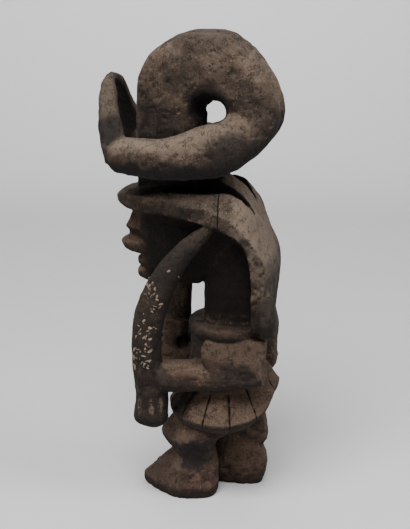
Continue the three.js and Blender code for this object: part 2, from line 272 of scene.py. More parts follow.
def ridge(profile, half_width, root, x=0.0, slices=25):
    """A side profile of y and z, carried across the figure and drawn in towards its ends."""
    closed = rounded(np.concatenate([profile, profile[:1]]), passes=2, keep_ends=False)
    rings = []
    for place in np.linspace(-1, 1, slices):
        scale = 0.3 + 0.7 * math.sqrt(max(0.0, 1 - abs(place) ** 2.6))
        y = root[0] + (closed[:, 0] - root[0]) * scale
        z = root[1] + (closed[:, 1] - root[1]) * (1 - (1 - scale) * 0.6)
        rings.append(np.column_stack([np.full(len(closed), x + place * half_width), y, z]))
    return loft(rings)


# Horns and post


def horn(side):
    """A horn coils back over the eye, parts from its fellow and runs forward.

    The left horn is the thicker one where it passes under the eye.
    """
    outer = [79, 89, 83, 68, 64, 53, 54]
    inner = [EYE_R] * 5 + ([4, 1] if side == NEAR else [16, 19])
    wide = [17, 18, 18, 18, 18, 19, 20]
    apart = [12, 12, 13, 14, 16, 26, 38]
    arc = []
    for i, (far, near) in enumerate(zip(outer, inner)):
        turn = math.radians(180 - 45 * i)
        reach = (far + near) / 2
        place = [WHEEL_Y + reach * math.cos(turn), WHEEL_Z + reach * math.sin(turn)]
        arc.append([side * apart[i], *place, wide[i], (far - near) / 2])
    foot = [side * 10, WHEEL_Y - EYE_R - 34, BROW_Z + 12, 16, 33]
    run = [[side * 46, -52, 361, 19, 20.5], [side * 48, -96, 362.5, 17, 18]]
    return limb([foot, *arc, *run], steps=162, sides=64, power=2.5, round_end=17)


def eye_funnel(side):
    """The eye widens into a funnel on each side of the coil."""
    shape = oval(48, 2)
    rows = along([
        [2, -12, 398, 11, 11],
        [16, -13.5, 402, 13.5, 12],
        [27, -16.5, 407, 17.5, 14],
        [38, -20, 415, 24, 18],
    ], np.linspace(0, 1, 25))
    return loft([
        np.column_stack([np.full(48, side * x), y + shape[:, 0] * half_y, z + shape[:, 1] * half_z])
        for x, y, z, half_y, half_z in rows
    ])


def horn_tip(side):
    """The horn's tip turns up and leans in, with a broad outer face."""
    lean, foot, thin = (0, 0, 0) if side == NEAR else (3, 5, 1.5)
    return limb([
        [side * 46, -101 - lean, 356, 11, 13 + foot],
        [side * 41, -109 - lean, 383, 9.5, 12 - thin],
        [side * 30, -114.5 - lean / 2, 405, 8, 10 - thin],
        [side * 14, -118, 423, 7, 7.5],
        [side * -1, -121, 431, 4, 4],
    ], steps=60, sides=40, power=3.6)


def post():
    """The post that carries the coil, from the hood up between the horns."""
    return column([
        [BROW_Z, 26, -91, -18],
        [334, 23, -90, -20],
        [380, 24, -90, -26],
        [WHEEL_Z + 20, 22, -80, -34],
    ])


# Hood, head and face

# Rows of the crown's y and z, the inner edge's y and z, half width, rise of the wall, the
# wall's share of the half width, and rise of the crest
HOOD = [
    [-115.5, 311, -115, 306, 3, 0.5, 0.5, 0.6],
    [-107, 317, -107, 304, 17, 1.5, 0.5, 1.8],
    [-94, 319, -94, 302.5, 29, 4, 0.55, 5],
    [-75, 319, -76, 302, 38, 9, 0.65, 12],
    [-50, 317, -54, 302, 43, 14, 0.75, 22],
    [-25, 313, -30, 298, HALF_HOOD, 19, 0.79, 30],
    [-3, 307, -9, 293, HALF_HOOD + 1, 24, 0.8, 25],
    [13, 298, 4, 288, HALF_HOOD + 1, 17.5, 0.8, 18],
    [27, 285, 17, 280, HALF_HOOD + 1, 8.5, 0.78, 9],
    [37.5, 271, 25, 267, HALF_HOOD, 3.5, 0.72, 4.5],
    [44, 256, 28, 253, HALF_HOOD, 3.5, 0.65, 4],
    [45, 233, 30, 233, HALF_HOOD, 3.5, 0.6, 4],
    [42, 186, 29, 186, HALF_HOOD - 3, 1, 0.6, 2],
]


def hood():
    """The hood runs from the visor's point over the crown and down to the shoulders."""
    rings = []
    for y_top, z_top, y_low, z_low, half, rise, share, crest in along(HOOD, np.linspace(0, 1, 97)):
        up = np.array([0, y_top - y_low, z_top - z_low])
        up /= np.linalg.norm(up)
        wall = half * share
        ledge = min(CREST_HALF, wall * 0.6)
        side = [[half, 0], [wall, rise], [ledge, crest * 0.94], [0, crest]]
        right = rounded(side)
        top = np.concatenate([right, (right * (-1, 1))[::-1][1:]])
        ring = [np.array([x, y_top, z_top]) + up * lift for x, lift in top]
        low = [np.array([x, y_low, z_low]) for x in np.linspace(-half, half, 9)]
        rings.append([*ring, *low])
    return loft(rings)


SLOT_START = 0.3
SLOT_LENGTH = {NEAR: 0.31, FAR: 0.28}


def hood_slot(side):
    """One of the two long slots beside the crest, cut along a share of the hood's rows."""
    shape = [[0.46, 0.8, 12], [0.5, 0.82, 18], [0.44, 0.8, 20], [0.37, 0.66, 15], [0.31, 0.37, 5]]
    t = np.linspace(0, 1, 41)
    rings = []
    for row, (inner, outer, deep) in zip(along(HOOD, SLOT_START + SLOT_LENGTH[side] * t), along(shape, t)):
        y_top, z_top, y_low, z_low, half, rise, _, crest = row
        up = np.array([0, y_top - y_low, z_top - z_low])
        up /= np.linalg.norm(up)
        corners = [(inner, rise - deep), (outer, rise - deep), (outer, crest + 6), (inner, crest + 6)]
        rings.append([np.array([side * x * half, y_top, z_top]) + up * lift for x, lift in corners])
    return loft(rings)


def head():
    """The long head is a wedge that hangs forward of the neck."""
    rows = [
        [JAW_Z - 3, 11, 17, -84, -26],
        [JAW_Z + 14, 14, 22, -90, -14],
        [262, 17, 26, -88, 0],
        [280, 18, 28, -92, 16],
        [BROW_Z + 8, 24, 34, -92, 24],
    ]

    cheek, jaw_end = -62, -38

    def plan(front, back, y_front, y_back):
        mid = front + (back - front) * 0.6
        flank = jaw_end + (y_back - jaw_end) * 0.7
        half = rounded([[0, y_front], [front * 0.5, y_front], [front, y_front + 6], [mid, cheek],
                        [back, jaw_end], [back, flank], [back * 0.8, y_back], [0, y_back]])
        return np.concatenate([half, (half * (-1, 1))[::-1][1:-1]])

    return stack(rows, 50, plan)


def nose():
    """A wedge, narrow under the visor and broad above the lip."""
    shape, root = oval(40, 1.7), -80
    rows = [
        [254, 10, -98],
        [268, 10, -103.5],
        [274, 11, -104],
        [279, 12.5, -107.5],
        [288, 7, -103],
        [BROW_Z + 2, 4, -99],
    ]

    def outline(wide, tip):
        return np.stack([shape[:, 0] * wide, root + shape[:, 1] * (root - tip)], axis=1)

    return stack(rows, 40, outline)


def face():
    """Nose, lips, beard and chin under the visor."""
    lips = [[-78, 266], [-107, 269.5], [-111.5, 265], [-110, 259], [-105, 254], [-78, 250]]
    beard = [[-78, 250], [-93, 249.5], [-95, 244], [-92.5, 239], [-78, 238]]
    chin = [[-78, 239], [-93, 238.5], [-95.5, 232], [-92, 226], [-78, 222]]
    return [nose(), ridge(lips, 16, [-80, 258]), ridge(beard, 12, [-80, 243]), ridge(chin, 12, [-80, 230])]


def neck():
    """The neck, from inside the collar up into the hood."""
    return column([
        [COLLAR_Z - 12, 22, -25, 32],
        [COLLAR_Z + 20, 21, -25, 36],
        [JAW_Z + 20, 22, -25, 38],
        [BROW_Z - 4, 26, -25, 30],
    ], power=2.8)


# Body and seat


def collar():
    """The broad flat collar with its rounded edge."""
    edge = [
        [COLLAR_R - 8, COLLAR_Z - 14], [COLLAR_R - 3, COLLAR_Z - 14], [COLLAR_R, COLLAR_Z - 10],
        [COLLAR_R, COLLAR_Z - 3], [COLLAR_R - 2, COLLAR_Z], [COLLAR_R - 8, COLLAR_Z],
    ]
    return drum([[0, COLLAR_Z - 14], *rounded(edge).tolist(), [0, COLLAR_Z]], COLLAR_Y)


def body():
    """The drum of the body, from the seat to the collar."""
    return drum([
        [0, SEAT_Z - 13], [BODY_R - 3, SEAT_Z - 13], [BODY_R + 0.5, WAIST_Z + 24],
        [BODY_R - 2, COLLAR_Z - 10], [0, COLLAR_Z - 10],
    ], BODY_Y)


def rim_height(angle):
    """Height of the seat's rim, which sweeps up at the back."""
    back = np.maximum(0, np.sin(angle))
    front = np.maximum(0, -np.sin(angle))
    return SEAT_Z + 11 * back**2 + 24 * back**10 + 7 * front**6


def seat():
    """The seat flares out like a short skirt and narrows again to the legs."""
    angle = np.arange(160) * 2 * np.pi / 160
    rim = rim_height(angle)
    stretch = 1 + 0.05 * np.maximum(0, -np.sin(angle)) ** 2
    slope = [
        (BODY_R - 4, rim + 33), (BODY_R + 1, rim + 23), ((BODY_R + SEAT_R) / 2, rim + 12),
        (SEAT_R - 2, rim + 1), (SEAT_R, rim - 1), (SEAT_R - 1, rim - 6),
        (SEAT_R - 8, rim - 12), (SEAT_R - 21, (rim + SEAT_Z) / 2 - 18),
    ]
    rings = []
    for r, z in slope:
        rings.append(np.stack([r * np.cos(angle), BODY_Y + r * np.sin(angle) * stretch, z], axis=1))
    return loft(rings)


def seat_cut(angle):
    """A narrow cut down the slope of the seat."""
    rim = float(rim_height(np.array(angle)))
    out = np.array([math.cos(angle), math.sin(angle), 0])
    across = np.array([-math.sin(angle), math.cos(angle), 0])
    rings = []
    for r, z in ((BODY_R - 2, rim + 28), (SEAT_R + 3, rim - 2)):
        spine = out * r + (0, BODY_Y, z)
        rings.append([spine + across * w + (0, 0, lift)
                      for w, lift in ((-2.1, 3), (2.1, 3), (0.9, -5), (-0.9, -5))])
    return loft(rings)


# Arms and what the hands hold


def arm(side):
    """A rounded shoulder behind the collar, a broad slab of an upper arm, and a forearm."""
    back, top, elbow, low = (46, 219, 45, 136) if side == NEAR else (36, 183, 43.5, 125)
    shoulder = limb([
        [side * 41, back, top - 31, 9, 8],
        [side * 41, back + 1, top - 14, 10, 9],
        [side * 40, back, top, 8, 7.5],
    ], round_start=6, round_end=9)
    shape = oval(64, 5)

    def slab(inner, outer, front):
        x = side * (inner + outer + shape[:, 0] * (outer - inner)) / 2
        return np.stack([x, (front + elbow + shape[:, 1] * (elbow - front)) / 2], axis=1)

    upper = stack([
        [low, 24, 54, -12],
        [156, 24, 53.5, -19],
        [168, 24, 46.5, -20],
        [178, 26, 40, -14],
    ], 40, slab)
    return [shoulder, upper, near_forearm(elbow) if side == NEAR else far_forearm(elbow)]


def near_forearm(elbow):
    """The left forearm runs nearly level to the fist on the tusk."""
    return limb([
        [39, elbow - 1, 144, 14, 12],
        [38, 10, 140, 16, 14],
        [37.5, -35, 135, 17.5, 15],
        [41, -78, 133, 18, 16],
    ], sides=56, power=3.2, round_end=9)


def far_forearm(elbow):
    """The right forearm is lower and thinner, with a hollow over it beside the fist."""
    return limb([
        [-39, elbow - 3, 143, 12, 12],
        [-39, 10, 132, 13, 12.5],
        [-41, -35, 126, 14, 13],
        [-43, -74, 125, 15, 14],
    ], sides=48, power=3.8, round_end=6)


def far_fist():
    """The right fist is a tall block round the foot of the blade, with a hollow in its heel."""
    blocks = [(44, -64, 150, 168, 13.5, 14.5), (44, -69, 118, 152, 13.5, 9.5), (53, -62, 124, 152, 5, 13)]
    return [
        limb([[FAR * x, y, low, wide, deep], [FAR * x, y, high, wide, deep]],
             steps=20, sides=48, power=4.5, round_end=3)
        for x, y, low, high, wide, deep in blocks
    ]


def fingers(side):
    """Four fingers rolled round what the hand holds."""
    return [limb([
        [side * 31, -80, 132 + rise, 3.8, 6],
        [side * 45, -85, 132 + rise, 3.8, 6],
        [side * 57, -78, 132 + rise, 3.8, 6],
    ], steps=24, sides=24) for rise in (-9, -3, 3, 9)]


def tusk():
    """The tusk stands in the left fist and leans back to the hood."""
    return limb([
        [45, -71.5, 92, 13, 18.5],
        [45, -70.5, 116, 13, 17],
        [45, -75, 150, 14, 15],
        [45, -74, 184, 14, 15.5],
        [45, -67, 214, 13, 15.5],
        [44, -55, 240, 12, 14],
        [43, -39, 264, 10, 11.5],
        [41, -24, 280, 8, 9],
        [40, -11, 293, 5, 5.5],
    ], steps=110, sides=48, round_start=13, round_end=3)


def blade():
    """The blade stands upright in the right fist."""
    return limb([
        [-43, -64, 100, 7, 9],
        [-43, -63, 125, 7, 10],
        [-43, -62, 165, 6, 13],
        [-43, -61, 200, 5, 13.5],
        [-42, -58, 235, 5, 14],
        [-41, -52, 262, 4, 10],
    ], power=2.8, round_start=5, round_end=8)


# Legs

# Rows of height, inner side, outer side, front, back and place of the widest point
NEAR_LEG = [
    [0, 3, 44, -90, -7, -44],
    [10, 3, 45, -90, -6, -44],
    [20, 3, 43, -80, -7, -42],
    [31, 3, 41, -70, -7, -38],
    [42, 3, 40, -60, -9, -34],
    [52, 3, 43, -69, -9, -36],
    [63, 3, 46, -70, -4, -33],
    [74, 3, 45, -62, 12, -24],
    [90, 3, 42, -52, 30, -18],
]
FAR_LEG = [
    [0, 3, 45, -62, 34, 2],
    [10, 3, 46, -64, 37, 2],
    [20, 4, 45, -56, 38, 4],
    [29, 6, 44, -46, 37, 4],
    [39, 10, 44, -40, 33.5, 4],
    [47, 12, 46, -41, 38.5, 6],
    [55, 12, 47, -42, 38, 8],
    [64, 11, 47, -43, 37, 8],
    [74, 8, 45, -44, 36, 4],
    [90, 3, 42, -40, 33, 0],
]


def leg(rows, side):
    """Legs and feet with a straight inner face, a pointed front and a full, rounded heel."""

    def round_half(share, power):
        return np.maximum(0, 1 - share**power) ** (1 / power)

    def plan(inner, outer, front, back, widest):
        p = np.sin(np.linspace(0, np.pi / 2, 16))
        middle = inner + (outer - inner) * 0.4
        ahead = widest + (front - widest) * p
        behind = widest + (back - widest) * p
        toe = np.stack([inner + (outer - inner) * round_half(p, 1.35), ahead], axis=1)
        heel = np.stack([middle + (outer - middle) * round_half(p, 2.6), behind], axis=1)
        hollow = np.stack([middle + (inner - middle) * round_half(p, 3.4), behind], axis=1)
        down = np.linspace(0, 1, 10)[1:-1]
        inside = np.stack([np.full(8, inner), front + (widest - front) * down], axis=1)
        line = np.concatenate([heel[:0:-1], toe, inside, hollow[:-1]])
        return line * (side, 1)

    return stack(rows, 60, plan)


# Making one skin from the forms


def vertex_rows(mesh, kind):
    """The places (co) or the normals (normal) of a mesh's points, a row each."""
    values = np.empty(len(mesh.vertices) * 3)
    mesh.vertices.foreach_get(kind, values)
    return values.reshape(-1, 3)


def positions(mesh):
    """The places of a mesh's points, in metres."""
    return vertex_rows(mesh, "co")


def set_positions(mesh, points):
    """Moves a mesh's points to those places."""
    mesh.vertices.foreach_set("co", points.ravel())
    mesh.update()


def mesh_of(name, forms):
    """A mesh of several forms, and which form each face came from."""
    points, faces, owner = [], [], []
    for k, (form_points, form_faces) in enumerate(forms):
        start = sum(len(p) for p in points)
        points.append(form_points)
        faces += [[start + i for i in face] for face in form_faces]
        owner += [k] * len(form_faces)
    place = (np.concatenate(points) + (0, AXIS_Y, 0)) * MM
    mesh = bpy.data.meshes.new(name)
    mesh.from_pydata(place.tolist(), [], faces)
    mesh.validate()
    return mesh, owner


def object_of(name, data):
    """A new object in the scene with that mesh, light or camera."""
    obj = bpy.data.objects.new(name, data)
    bpy.context.scene.collection.objects.link(obj)
    return obj


def applied(obj):
    """The object's mesh with its modifiers taken into it."""
    graph = bpy.context.evaluated_depsgraph_get()
    mesh = bpy.data.meshes.new_from_object(obj.evaluated_get(graph))
    obj.modifiers.clear()
    old = obj.data
    obj.data = mesh
    bpy.data.meshes.remove(old)
    return obj


def cut_away(obj, forms):
    """The object with the forms cut out of it."""
    for form in forms:
        tool = object_of("cutter", mesh_of("cutter", [form])[0])
        modifier = obj.modifiers.new("cut", "BOOLEAN")
        modifier.operation = "DIFFERENCE"
        modifier.solver = "MANIFOLD"
        modifier.object = tool
        applied(obj)
        bpy.data.objects.remove(tool)
    return obj


def form_of(obj):
    """A Blender object's mesh as a form, back in the carving's millimetres."""
    points = positions(obj.data) / MM - (0, AXIS_Y, 0)
    faces = [list(face.vertices) for face in obj.data.polygons]
    bpy.data.objects.remove(obj)
    return points, faces


def cut_form(form, cutters):
    """The form with the cutters taken out of it."""
    return form_of(cut_away(object_of("form", mesh_of("form", [form])[0]), cutters))


SLOTS = [hood_slot(NEAR), hood_slot(FAR)]
FUNNELS = [eye_funnel(NEAR), eye_funnel(FAR)]
CUTS = [seat_cut(math.radians(FIRST_CUT + i * 360 / SEAT_CUTS)) for i in range(SEAT_CUTS)]


def carving_forms():
    """Every form of the carving, grouped by the kind of surface that it carries."""
    return {
        "horns": [cut_form(form, FUNNELS) for form in (horn(NEAR), horn(FAR), post())],
        "tips": [horn_tip(NEAR), horn_tip(FAR)],
        "hood": [cut_form(hood(), SLOTS)],
        "face": [head(), *face()],
        "neck": [neck()],
        "body": [collar(), body()],
        "seat": [cut_form(seat(), CUTS)],
        "arms": [*arm(NEAR), *arm(FAR), *far_fist(), *fingers(NEAR), *fingers(FAR)],
        "tusk": [tusk()],
        "blade": [blade()],
        "legs": [leg(NEAR_LEG, NEAR), leg(FAR_LEG, FAR)],
    }


# How strongly each kind of surface is worked, in millimetres: unevenness, facets, wear, grain
WORKING = {
    "horns": (0.9, 0.8, 0.32, 0.1),
    "tips": (0.5, 0.9, 0.25, 0.1),
    "hood": (0.7, 0.8, 0.25, 0.12),
    "face": (0.5, 0.6, 0.3, 0.25),
    "neck": (0.5, 0.6, 0.2, 0.2),
    "body": (0.5, 0.5, 0.25, 0.12),
    "seat": (0.4, 0.3, 0.25, 0.12),
    "arms": (0.7, 0.8, 0.4, 0.12),
    "tusk": (0.6, 0.6, 0.4, 0.15),
    "blade": (0.4, 0.5, 0.2, 0.15),
    "legs": (1.0, 0.8, 0.45, 0.3),
}
KINDS = tuple(WORKING)


def tree_of(mesh):
    """A search tree over a mesh's faces."""
    polygons = [face.vertices for face in mesh.polygons]
    return BVHTree.FromPolygons([vertex.co for vertex in mesh.vertices], polygons)


def distances(points, forms):
    """How far points in metres lie from the faces of some forms, in millimetres."""
    mesh = mesh_of("near", forms)[0]
    tree = tree_of(mesh)
    bpy.data.meshes.remove(mesh)
    return np.array([tree.find_nearest(point)[3] for point in points]) / MM


class Forms:
    """The forms under the skin, to look up what kind of surface is nearest to a place."""

    def __init__(self, groups):
        forms = [(kind, form) for kind, group in groups.items() for form in group]
        self.mesh, owner = mesh_of("forms", [form for _, form in forms])
        self.kinds = np.array([KINDS.index(kind) for kind, _ in forms])[owner]
        self.tree = tree_of(self.mesh)

    def kinds_at(self, points):
        """The number of the kind of surface that is nearest to each point."""
        return self.kinds[[self.tree.find_nearest(point)[2] for point in points]]


def skin(forms, settings):
    """One closed skin over all the forms."""
    obj = object_of(CARVING, forms.mesh.copy())
    modifier = obj.modifiers.new("one skin", "REMESH")
    modifier.mode = "VOXEL"
    modifier.voxel_size = settings.skin_step * MM
    modifier = obj.modifiers.new("worn edges", "SMOOTH")
    modifier.factor = 0.5
    modifier.iterations = settings.wear_passes
    return applied(obj)


def blurred(mesh, values, passes):
    """Values evened out over neighbouring points of a mesh."""
    edges = np.empty(len(mesh.edges) * 2, int)
    mesh.edges.foreach_get("vertices", edges)
    a, b = edges.reshape(-1, 2).T
    count = np.bincount(a, minlength=len(values)) + np.bincount(b, minlength=len(values))
    for _ in range(passes):
        total = np.bincount(a, values[b], len(values)) + np.bincount(b, values[a], len(values))
        values = (values + total / np.maximum(count, 1)) / 2
    return values


def tool_marks(obj, forms, settings):
    """Uneven hand work, knife facets, wear and raised grain, pressed into the skin."""
    points = positions(obj.data) / MM
    weights = np.array(list(WORKING.values()))[forms.kinds_at(positions(obj.data))]
    weights = np.stack([blurred(obj.data, w, 6) for w in weights.T], axis=1)
    seed = settings.seed
    bent = points / (9, 9, 14) + clouds(points / 20, seed + 5, 1)[:, None] * 0.35
    marks = np.stack([
        clouds(points / (26, 26, 34), seed, 2),
        -np.clip(1 - (scallops(bent, seed) / 0.8) ** 2, 0, 1),
        clouds(points / 6.5, seed + 17, 3) - 1.6 * smooth_step(0.35, 0.8, cloud(points / 3.2, seed + 21)),
        clouds(points / (1.9, 1.9, 16), seed + 9, 2),
    ], axis=1)
    lift = (weights * marks).sum(axis=1)
    moved = points + vertex_rows(obj.data, "normal") * lift[:, None]
    set_positions(obj.data, moved * MM)


def kept_in_box(obj):
    """Draws a piece back to the frame's box, which also flattens its soles."""
    set_positions(obj.data, np.clip(positions(obj.data), NODE_LOW, NODE_HIGH))


def thinned(obj, most):
    """The skin with at most that many triangles, fewest where it is flattest."""
    obj.modifiers.new("even triangles", "TRIANGULATE")
    applied(obj)
    count = len(obj.data.polygons)
    if count > most:
        modifier = obj.modifiers.new("thinner", "DECIMATE")
        modifier.ratio = most / count
        applied(obj)
    return obj


# Painting by place

# How far a ray looks for a wall, how far clear of the skin it starts, both in millimetres, and
# how strongly it leans to the skin's normal
RAY_REACH, RAY_CLEAR = 120, 0.8
RAY_LEAN = 1.02


def openness(mesh, rays):
    """How open each point is to all sides, and how open to the sky, from 0 to 1."""
    points, out = positions(mesh), vertex_rows(mesh, "normal")
    tree = tree_of(mesh)
    k = np.arange(rays) + 0.5
    polar, turn = np.arccos(1 - 2 * k / rays), np.pi * (1 + 5**0.5) * k
    ball = np.stack([np.cos(turn) * np.sin(polar), np.sin(turn) * np.sin(polar), np.cos(polar)], axis=1)
    seen = np.zeros(len(points))
    sky = np.zeros(len(points))
    sky_most = np.zeros(len(points))
    for i, (point, normal) in enumerate(zip(points, out)):
        start = Vector(point + normal * RAY_CLEAR * MM)
        for direction in ball + normal * RAY_LEAN:
            hit = tree.ray_cast(start, Vector(direction), RAY_REACH * MM)[0]
            up = max(0.0, direction[2])
            sky_most[i] += up
            if hit is None:
                seen[i] += 1
                sky[i] += up
    return seen / rays, sky / np.maximum(sky_most, 1e-6)


# Patches as middle x, y, z, half sizes, seed and strength
# Soot patches; some are painted shade, such as those on the post under the horns and on the lower side of
# the horn's run.
SOOT_AND_SHADE = [
    ((30, -66, 372), (20, 26, 40), 82, 0.8),
    ((50, -66, 346), (14, 64, 13), 87, 0.9),
    ((44, 10, 372), (24, 22, 16), 79, 0.6),
    ((57, 22, 144), (6, 30, 15), 83, 0.9),
    ((58, -60, 134), (6, 26, 12), 88, 0.7),
    ((44, -31, 47), (12, 21, 19), 84, 1.0),
    ((50, 51, 207), (14, 14, 30), 85, 0.8),
    ((57, -60, 160), (8, 9, 34), 86, 0.8),
    ((47, -111, 387), (14, 13, 16), 80, 1.0),
    ((40, -52, 108), (16, 14, 16), 78, 0.9),
    ((52, -58, 262), (16, 34, 30), 77, 0.6),
]
PIGMENT = [
    ((40, -16, 14), (16, 22, 20), 91, 0.65),
    ((57, -43, 137), (7, 6, 8), 92, 1.0),
    ((57, -22, 135), (7, 6, 5), 93, 1.0),
    ((-31, -53, 160), (6, 8, 10), 94, 1.0),
    ((38, 20, 168), (18, 16, 8), 95, 0.35),
    ((45, -76, 8), (20, 16, 12), 96, 0.4),
]
CRUST = [
    ((18, 4, 190), (11, 31, 6), 101, 1.0),
    ((26, -58, 276), (10, 12, 16), 102, 0.9),
    ((40, 33, 196), (12, 12, 16), 103, 0.8),
    ((50, -52, 112), (12, 10, 12), 104, 0.8),
    ((58, -78, 140), (8, 14, 18), 105, 0.5),
]
CHALK = [
    ((60, -66, 214), (15, 8, 34), 111, 0.9),
    ((60, -74, 182), (16, 9, 30), 112, 1.0),
    ((60, -80, 150), (16, 9, 26), 113, 1.0),
    ((56, -44, 250), (12, 9, 16), 114, 0.3),
]
PALE = [
    ((20, 30, 290), (60, 24, 44), 131, 1.0),
    ((30, 46, 250), (40, 16, 50), 132, 0.9),
    ((50, -70, 378), (20, 60, 9), 133, 0.8),
    ((46, -14, 384), (16, 26, 14), 134, 0.5),
]
# Darker patches of grime; some are painted shade, such as the one on the seat's front.
GRIME_AND_SHADE = [
    ((0, -14, 484), (70, 80, 24), 151, 0.45),
    ((40, 44, 398), (24, 22, 50), 152, 0.35),
    ((52, -60, 347), (20, 78, 15), 153, 1.0),
    ((46, 12, 366), (26, 26, 20), 154, 0.6),
    ((30, -46, 100), (22, 16, 18), 155, 0.7),
    ((48, -100, 352), (14, 14, 12), 156, 0.6),
    ((46, -70, 304), (12, 52, 11), 157, 0.55),
    ((30, -60, 14), (30, 40, 16), 158, 0.3),
    ((50, 50, 205), (14, 14, 34), 159, 0.4),
    ((50, 14, 372), (18, 30, 16), 160, 0.5),
    ((50, 10, 165), (16, 40, 16), 161, 0.35),
    ((46, -110, 390), (14, 13, 14), 162, 0.5),
]
# Three chalk stripes at the foot of the tusk
STRIPES = [((57, y, 106), (9, 2.2, 10), 120 + k, 1.0) for k, y in enumerate((-81, -68, -59))]
# Kinds of surface that are grimy all over, and how strongly
DULL = {"body": 0.5, "tips": 0.3, "tusk": 0.62}


def patches(points, rows):
    """The strongest of several soft-edged, ragged patches at each point, from 0 to 1."""
    total = np.zeros(len(points))
    for middle, size, seed, strength in rows:
        reach = np.linalg.norm((points - middle) / size, axis=1)
        ragged = clouds(points / 6, seed, 3) * 0.5
        total = np.maximum(total, smooth_step(1.2, 0.8, reach + ragged) * strength)
    return total


def sheltered_shade(mesh, x, y, z, facing, on):
    """How much painted shade darkens the sheltered places, from 0 to 1."""
    crown = smooth_step(36, 33, np.abs(x)) * smooth_step(-92, -78, y) * smooth_step(-16, -30, y)
    slots = smooth_step(1.8, 0.8, distances(positions(mesh), SLOTS))
    funnels = smooth_step(3.5, 1.0, distances(positions(mesh), FUNNELS))
    return np.maximum.reduce([
        # the neck above the collar, and the face behind the lips
        on("neck") * smooth_step(COLLAR_Z + 2, COLLAR_Z + 12, z),
        on("face") * smooth_step(-93, -76, y) * 0.95,
        # the hood's crown under the horns, its visor's underside and its slots
        on("hood") * crown * (z > 315),
        on("hood") * smooth_step(0.1, -0.5, facing[:, 2]) * (z < 320),
        on("hood") * slots,
        # the eye, the foot of the horns and the inner face of the right tip
        on("horns") * funnels,
        on("horns") * smooth_step(342, 332, z),
        on("tips") * (x < 4) * smooth_step(-0.1, 0.4, facing[:, 0]) * 0.9,
    ])


def paint(mesh, forms, settings):
    """Sets how much dust, grime, soot, crust, chalk and pigment lies at each point, and how much painted
    shade darkens its recesses, its undersides and some grime and soot patches.
    """
    points = positions(mesh) / MM - (0, AXIS_Y, 0)
    kinds = forms.kinds_at(positions(mesh))
    out = vertex_rows(mesh, "normal")
    seen, sky = (blurred(mesh, share, 2) for share in openness(mesh, settings.rays))
    x, y, z = points.T
    mottle = clouds(points / 16, 71, 3)

    def on(*names):
        """1 on those kinds of surface and 0 elsewhere, with a soft edge."""
        return blurred(mesh, np.isin(kinds, [KINDS.index(name) for name in names]).astype(float), 2)

    # Painted shade in the recesses, where few rays get out
    hidden = smooth_step(0.5, 0.16, seen)
    dull = sum(on(kind) * share for kind, share in DULL.items())
    sole = on("legs") * smooth_step(13, 9, z + mottle * 2) * smooth_step(0.5, 0.2, out[:, 2])
    sole *= smooth_step(-20, 8, x)
    masks = {
        # painted shade in the hidden and sheltered places
        "recess": np.maximum(hidden, sheltered_shade(mesh, x, y, z, out, on)),
        "dust": sky * smooth_step(-0.1, 0.8, out[:, 2] + mottle * 0.3),
        # painted shade on faces that look down
        "under": smooth_step(0.3, -0.35, out[:, 2] + mottle * 0.2),
        "pale": patches(points, PALE) * smooth_step(-0.3, 0.2, out[:, 2]),
        # grime, with painted shade in some patches, the duller kinds of surface, and the feet's sides just
        # above the floor
        "grime_and_shade": np.maximum.reduce([patches(points, GRIME_AND_SHADE), dull, sole * 0.6]),
        # soot, with painted shade in some of its patches
        "soot_and_shade": patches(points, SOOT_AND_SHADE) * smooth_step(-0.2, 0.2, out[:, 0]),
        "pigment": patches(points, PIGMENT),
        "crust": patches(points, CRUST),
        "chalk": patches(points, CHALK) * on("tusk") * smooth_step(-0.3, 0.2, out[:, 0] - out[:, 1] * 0.5),
        "stripes": patches(points, STRIPES) * on("tusk"),
        "seat": on("seat"),
        "warm": on("body", "seat", "arms", "legs", "face"),
    }
    for name, values in masks.items():
        attribute = mesh.attributes.new(name, "FLOAT", "POINT")
        attribute.data.foreach_set("value", np.clip(values, 0, 1).astype(np.float32))


# Materials

# In millimetres: half width of the dark lines in the seat's cuts and of the drying crack, where
# that crack stands, runs from and to, starts from the middle plane and fades out, how far the
# lines waver, the depth of the wood's fine relief, and the raggedness of the chalk flakes
SEAT_LINE, CRACK_LINE = 0.7, 0.6
CRACK_Y, CRACK_LOW, CRACK_HIGH = -3, 288, 336
CRACK_X, CRACK_FADE = 24, 6
WAVER = 3
RELIEF = 1.4
FLAKE_RAG = 2.2


